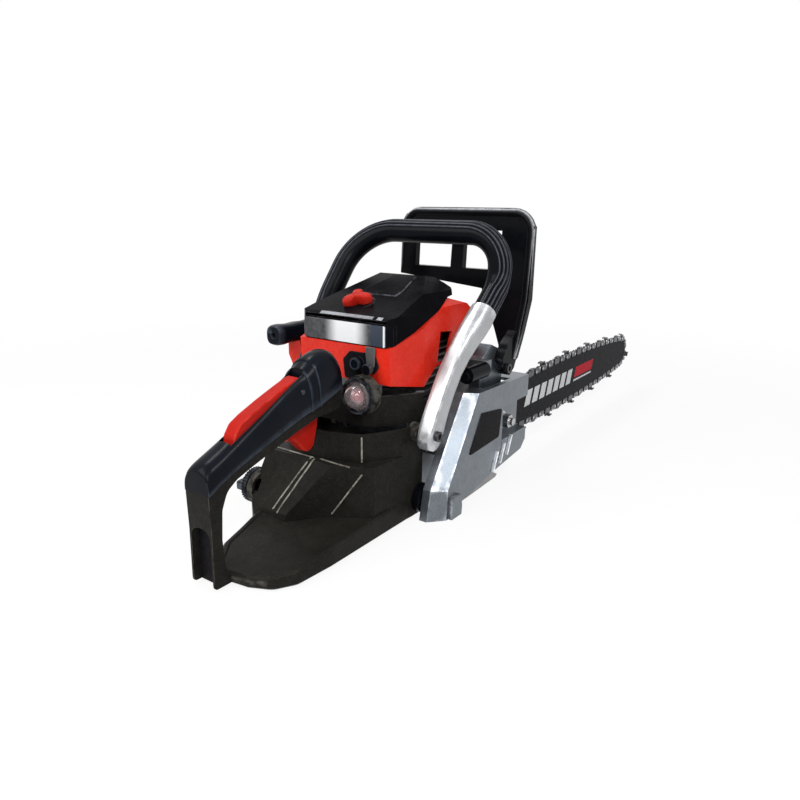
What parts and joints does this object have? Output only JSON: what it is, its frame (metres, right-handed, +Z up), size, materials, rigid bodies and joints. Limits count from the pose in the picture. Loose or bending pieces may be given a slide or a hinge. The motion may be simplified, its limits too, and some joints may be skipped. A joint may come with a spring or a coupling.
{
  "type": "petrol chainsaw",
  "caption": "Small petrol chainsaw with red top covers, silver drive cover, rear and front handles, hand guard, guide bar and saw chain; the inner engine and clutch are modelled.",
  "frame": {"origin": "on the ground, straight below the crankshaft axis", "axes": "+X forward along the guide bar, +Y to the saw's left, +Z up"},
  "size_m": [0.8004, 0.2235, 0.283],
  "materials": {
    "red_cover": "satin",
    "silver_cast": "satin",
    "bare_cast": "cast",
    "tank_dark": "matte",
    "black_plastic": "gloss",
    "soft_black": "satin",
    "steel": "machined",
    "bar_steel": "satin",
    "chain_steel": "machined",
    "filter": "matte",
    "bulb": "gloss",
    "rope": "matte",
    "white_plastic": "matte"
  },
  "bodies": {
    "frame": {"crank_bearings": "steel", "oil_pump": "bare_cast", "chain_cutters": "chain_steel", "chain_tie_straps": "chain_steel", "chain_drive_links": "chain_steel", "guide_bar": "bar_steel", "crankcase_right": "silver_cast", "crankcase_left": "silver_cast", "cylinder": "bare_cast", "spark_plug": "white_plastic", "ignition_lead": "soft_black", "ignition_coil": "black_plastic", "intake_boot": "soft_black", "carburettor": "bare_cast", "air_filter": "filter", "muffler": "steel", "starter_housing": "red_cover", "recoil_spring": "steel", "clutch_cover": "silver_cast", "bar_stud": "steel", "bar_nut": "steel", "bar_tensioner": "steel", "brake_band": "steel", "chain_catcher": "bare_cast", "tank_housing": "tank_dark", "rear_handle": "tank_dark", "rear_grip": "soft_black", "front_handle": "soft_black", "handle_arm": "silver_cast", "av_buffers": "soft_black", "engine_cover": "red_cover", "screws_and_pins": "steel"},
    "crank": {"crankshaft": "steel", "flywheel": "bare_cast", "flywheel_nut": "steel", "clutch_hub": "steel", "clutch_shoes": "steel", "oil_worm": "white_plastic"},
    "piston_set": {"piston": "bare_cast", "piston_rings": "steel", "wrist_pin": "steel", "connecting_rod": "steel"},
    "drum": {"clutch_drum": "steel", "drum_bearing": "steel"},
    "nose": {"nose_sprocket": "steel"},
    "starter_wheel": {"starter_pulley": "white_plastic"},
    "pull_grip": {"starter_grip": "black_plastic", "starter_rope": "rope"},
    "guard": {"hand_guard": "black_plastic"},
    "trigger": {"throttle_trigger": "red_cover"},
    "lock": {"throttle_lock": "red_cover"},
    "choke": {"choke_knob": "black_plastic"},
    "primer": {"primer_bulb": "bulb"},
    "fuel_seal": {"fuel_cap_gasket": "soft_black"},
    "fuel_lid": {"fuel_cap": "black_plastic"},
    "oil_seal": {"oil_cap_gasket": "soft_black"},
    "oil_lid": {"oil_cap": "black_plastic"},
    "filter_lid": {"filter_cover": "black_plastic"},
    "filter_catch": {"filter_knob": "red_cover"},
    "switch": {"stop_switch": "red_cover"}
  },
  "joints": [
    {"name": "crank_turn", "type": "hinge", "parent": "frame", "child": "crank", "pos_m": [0, 0, 0.066], "axis": [0, 1, 0], "continuous": true},
    {"name": "piston_stroke", "type": "slide", "parent": "frame", "child": "piston_set", "axis": [0, 0, 1], "range_m": [0, 0.032]},
    {"name": "drum_turn", "type": "hinge", "parent": "frame", "child": "drum", "pos_m": [0, -0.064, 0.066], "axis": [0, 1, 0], "continuous": true, "deforming": ["chain_cutters", "chain_tie_straps", "chain_drive_links"]},
    {"name": "nose_turn", "type": "hinge", "parent": "frame", "child": "nose", "pos_m": [0.49938, -0.064, 0.066], "axis": [0, 1, 0], "continuous": true},
    {"name": "starter_turn", "type": "hinge", "parent": "frame", "child": "starter_wheel", "pos_m": [0, 0.079, 0.066], "axis": [0, 1, 0], "range_deg": [0, 1380]},
    {"name": "starter_pull", "type": "slide", "parent": "frame", "child": "pull_grip", "axis": [0, 0.26, 0.9656], "range_m": [0, 0.6], "deforming": ["starter_rope"]},
    {"name": "guard_tip", "type": "hinge", "parent": "frame", "child": "guard", "pos_m": [0.057, -0.079, 0.124], "axis": [0, 1, 0], "range_deg": [0, 20]},
    {"name": "trigger_pull", "type": "hinge", "parent": "frame", "child": "trigger", "pos_m": [-0.15, 0, 0.113], "axis": [0, 1, 0], "range_deg": [0, 18], "stiffness_Nm_per_rad": 0.05, "springref_deg": -11.46},
    {"name": "lock_press", "type": "hinge", "parent": "frame", "child": "lock", "pos_m": [-0.172, 0, 0.136], "axis": [0, -1, 0], "range_deg": [0, 6], "stiffness_Nm_per_rad": 0.1, "springref_deg": -11.46},
    {"name": "choke_pull", "type": "slide", "parent": "frame", "child": "choke", "axis": [-1, 0, 0], "range_m": [0, 0.012]},
    {"name": "primer_press", "type": "slide", "parent": "frame", "child": "primer", "axis": [1, 0, 0], "range_m": [0, 0.006], "stiffness_N_per_m": 300, "springref_m": -0.001, "deforming": ["primer_bulb"]},
    {"name": "fuel_lid_lift", "type": "slide", "parent": "frame", "child": "fuel_seal", "axis": [0, 1, 0], "range_m": [0, 0.012]},
    {"name": "fuel_lid_turn", "type": "hinge", "parent": "fuel_seal", "child": "fuel_lid", "pos_m": [-0.157, 0.065, 0.03], "axis": [0, -1, 0], "range_deg": [0, 720]},
    {"name": "oil_lid_lift", "type": "slide", "parent": "frame", "child": "oil_seal", "axis": [0, 1, 0], "range_m": [0, 0.012]},
    {"name": "oil_lid_turn", "type": "hinge", "parent": "oil_seal", "child": "oil_lid", "pos_m": [0.07, 0.055, 0.031], "axis": [0, -1, 0], "range_deg": [0, 720]},
    {"name": "filter_lid_lift", "type": "slide", "parent": "frame", "child": "filter_lid", "axis": [0, 0, 1], "range_m": [0, 0.028]},
    {"name": "filter_catch_turn", "type": "hinge", "parent": "filter_lid", "child": "filter_catch", "pos_m": [-0.067, 0.011, 0.1975], "axis": [-0.2924, 0, 0.9563], "range_deg": [0, 90]},
    {"name": "switch_rock", "type": "hinge", "parent": "frame", "child": "switch", "pos_m": [-0.104, 0.04, 0.1226], "axis": [0, 1, 0], "range_deg": [-10, 10]}
  ],
  "couplings": [
    {"joint": "nose_turn", "follows": "drum_turn", "ratio": 0.85714},
    {"joint": "starter_turn", "follows": "starter_pull", "rad_per_m": 40},
    {"joint": "fuel_lid_turn", "follows": "fuel_lid_lift", "rad_per_m": 1041.4},
    {"joint": "oil_lid_turn", "follows": "oil_lid_lift", "rad_per_m": 1041.4}
  ]
}
